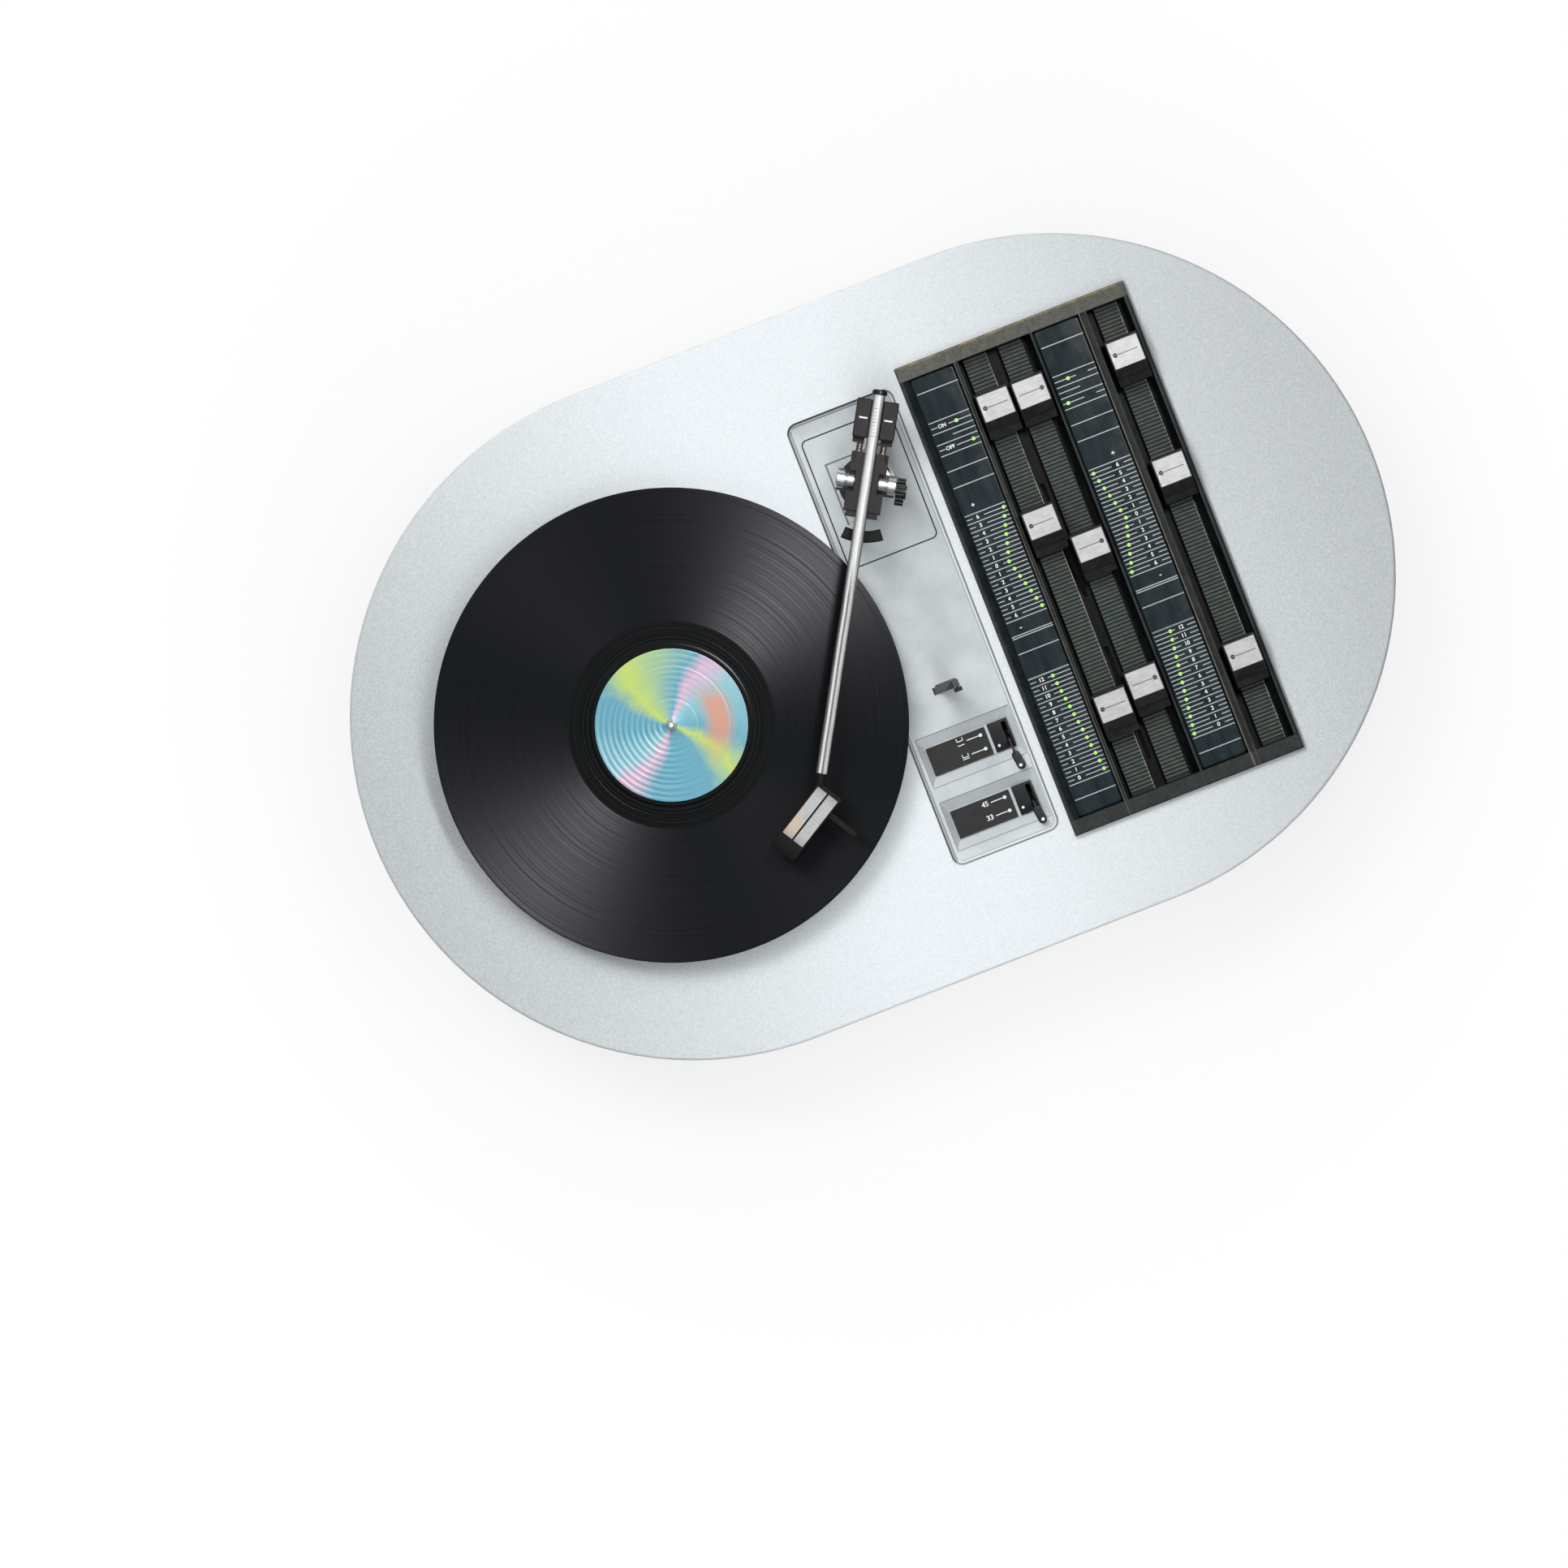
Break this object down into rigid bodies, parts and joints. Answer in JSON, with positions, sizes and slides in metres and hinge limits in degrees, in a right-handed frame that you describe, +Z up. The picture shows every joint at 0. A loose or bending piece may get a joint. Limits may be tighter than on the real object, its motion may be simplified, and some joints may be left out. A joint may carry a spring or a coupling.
{
  "type": "record player",
  "caption": "Flat stadium-shaped record player with a straight tonearm, lift and speed levers, and a slider desk beside the platter.",
  "frame": {"origin": "middle of the footprint, on the surface the feet stand on", "axes": "+X along the long axis towards the slider desk, +Y to the rear with the sockets, +Z up"},
  "size_m": [0.68, 0.436, 0.1248],
  "materials": {
    "deck_paint": "fine metallic silver lacquer",
    "pan_plastic": "matt",
    "foot_rubber": "matt",
    "steel": "zinc plated",
    "chrome": "polished",
    "bearing_brass": "turned",
    "cast_alloy": "cast and turned",
    "mat_rubber": "matt",
    "vinyl": "pressed grooves",
    "label_paper": "printed paper",
    "strip_plastic": "satin silver",
    "black_plastic": "satin",
    "black_gloss": "glossy",
    "rib_plastic": "satin",
    "cap_aluminium": "brushed",
    "head_plate": "satin",
    "belt_rubber": "matt",
    "board": "phenolic board",
    "capacitor_can": "sleeved",
    "core_steel": "laminated",
    "socket_metal": "nickel plated",
    "weight_metal": "black lacquer",
    "stylus_body": "moulded"
  },
  "bodies": {
    "chassis": {"deck_shell": "deck_paint", "base_pan": "pan_plastic", "feet": "foot_rubber", "casing_screws": "steel", "rear_panel": "black_plastic", "mains_inlet": "black_plastic", "phono_sockets": "socket_metal", "bearer_plate": "steel", "bearer_screws": "steel", "bearing_housing": "bearing_brass", "drive_motor": "steel", "drive_belt": "belt_rubber", "amplifier_board": "board", "capacitors": "capacitor_can", "transformer": "core_steel", "control_strip": "strip_plastic", "label_plates": "black_gloss", "lever_guides": "black_gloss", "arm_rest": "black_plastic", "arm_base": "black_plastic", "desk_bezel": "black_plastic", "scale_strip_left": "black_gloss", "scale_strip_right": "black_gloss", "ribbed_strips": "rib_plastic", "slide_pots": "steel"},
    "platter": {"spindle": "chrome", "sub_platter": "cast_alloy", "platter": "cast_alloy", "platter_mat": "mat_rubber", "record": "vinyl", "record_label": "label_paper"},
    "pulley": {"motor_pulley": "bearing_brass"},
    "yoke": {"bearing_yoke": "black_plastic", "bearing_cups": "chrome"},
    "dial": {"force_dial": "black_plastic"},
    "tonearm": {"arm_tube": "chrome", "tube_end_cap": "black_plastic", "arm_block": "black_plastic", "weight_rods": "steel", "headshell": "black_plastic", "headshell_plates": "head_plate", "headshell_screws": "chrome", "cartridge": "black_plastic", "stylus": "stylus_body", "finger_lift": "black_plastic"},
    "weight": {"counterweight": "weight_metal"},
    "lift": {"lift_bar": "black_plastic"},
    "lift_lever": {"lift_lever": "black_plastic"},
    "speed_lever": {"speed_lever": "black_plastic"},
    "latch": {"arm_latch": "black_plastic"},
    "fader_power": {"fader_power": "cap_aluminium"},
    "fader_bass": {"fader_bass": "cap_aluminium"},
    "fader_volume_left": {"fader_volume_left": "cap_aluminium"},
    "fader_selector": {"fader_selector": "cap_aluminium"},
    "fader_treble": {"fader_treble": "cap_aluminium"},
    "fader_volume_right": {"fader_volume_right": "cap_aluminium"},
    "fader_mode": {"fader_mode": "cap_aluminium"},
    "fader_balance": {"fader_balance": "cap_aluminium"},
    "fader_headphones": {"fader_headphones": "cap_aluminium"}
  },
  "joints": [
    {"name": "platter_spin", "type": "hinge", "parent": "chassis", "child": "platter", "pos_m": [-0.137, 0, 0.06], "axis": [0, 0, 1], "continuous": true},
    {"name": "pulley_spin", "type": "hinge", "parent": "chassis", "child": "pulley", "pos_m": [-0.062, 0.062, 0.05], "axis": [0, 0, 1], "continuous": true},
    {"name": "arm_swing", "type": "hinge", "parent": "chassis", "child": "yoke", "pos_m": [0.0335, 0.098, 0.09], "axis": [0, 0, 1], "range_deg": [-15, 30]},
    {"name": "arm_lift", "type": "hinge", "parent": "yoke", "child": "tonearm", "pos_m": [0.0335, 0.098, 0.107], "axis": [-0.866, 0.5, 0], "range_deg": [0, 12]},
    {"name": "weight_slide", "type": "slide", "parent": "tonearm", "child": "weight", "axis": [0.5, 0.866, 0], "range_m": [-0.004, 0.003]},
    {"name": "dial_turn", "type": "hinge", "parent": "yoke", "child": "dial", "pos_m": [0.0513, 0.08483, 0.1015], "axis": [0.866, -0.5, 0], "range_deg": [-60, 210]},
    {"name": "lift_rise", "type": "slide", "parent": "chassis", "child": "lift", "axis": [0, 0, 1], "range_m": [0, 0.003]},
    {"name": "lift_lever_tilt", "type": "hinge", "parent": "chassis", "child": "lift_lever", "pos_m": [0.0593, -0.08175, 0.0494], "axis": [-1, 0, 0], "range_deg": [0, 22]},
    {"name": "speed_lever_tilt", "type": "hinge", "parent": "chassis", "child": "speed_lever", "pos_m": [0.0593, -0.12425, 0.0494], "axis": [-1, 0, 0], "range_deg": [0, 22]},
    {"name": "latch_swing", "type": "hinge", "parent": "chassis", "child": "latch", "pos_m": [0.0401, -0.04, 0.1127], "axis": [0, 1, 0], "range_deg": [-78, 0]},
    {"name": "power_slide", "type": "slide", "parent": "chassis", "child": "fader_power", "axis": [0, 1, 0], "range_m": [-0.015, 0]},
    {"name": "bass_slide", "type": "slide", "parent": "chassis", "child": "fader_bass", "axis": [0, 1, 0], "range_m": [-0.049, 0.018]},
    {"name": "volume_left_slide", "type": "slide", "parent": "chassis", "child": "fader_volume_left", "axis": [0, 1, 0], "range_m": [-0.035, 0.0315]},
    {"name": "selector_slide", "type": "slide", "parent": "chassis", "child": "fader_selector", "axis": [0, 1, 0], "range_m": [-0.015, 0]},
    {"name": "treble_slide", "type": "slide", "parent": "chassis", "child": "fader_treble", "axis": [0, 1, 0], "range_m": [-0.0253, 0.0417]},
    {"name": "volume_right_slide", "type": "slide", "parent": "chassis", "child": "fader_volume_right", "axis": [0, 1, 0], "range_m": [-0.042, 0.024]},
    {"name": "mode_slide", "type": "slide", "parent": "chassis", "child": "fader_mode", "axis": [0, 1, 0], "range_m": [-0.015, 0]},
    {"name": "balance_slide", "type": "slide", "parent": "chassis", "child": "fader_balance", "axis": [0, 1, 0], "range_m": [-0.051, 0.016]},
    {"name": "headphones_slide", "type": "slide", "parent": "chassis", "child": "fader_headphones", "axis": [0, 1, 0], "range_m": [-0.036, 0.03]}
  ],
  "couplings": [
    {"joint": "pulley_spin", "follows": "platter_spin", "ratio": 10.345},
    {"joint": "lift_rise", "follows": "lift_lever_tilt", "m_per_rad": 0.0078}
  ]
}
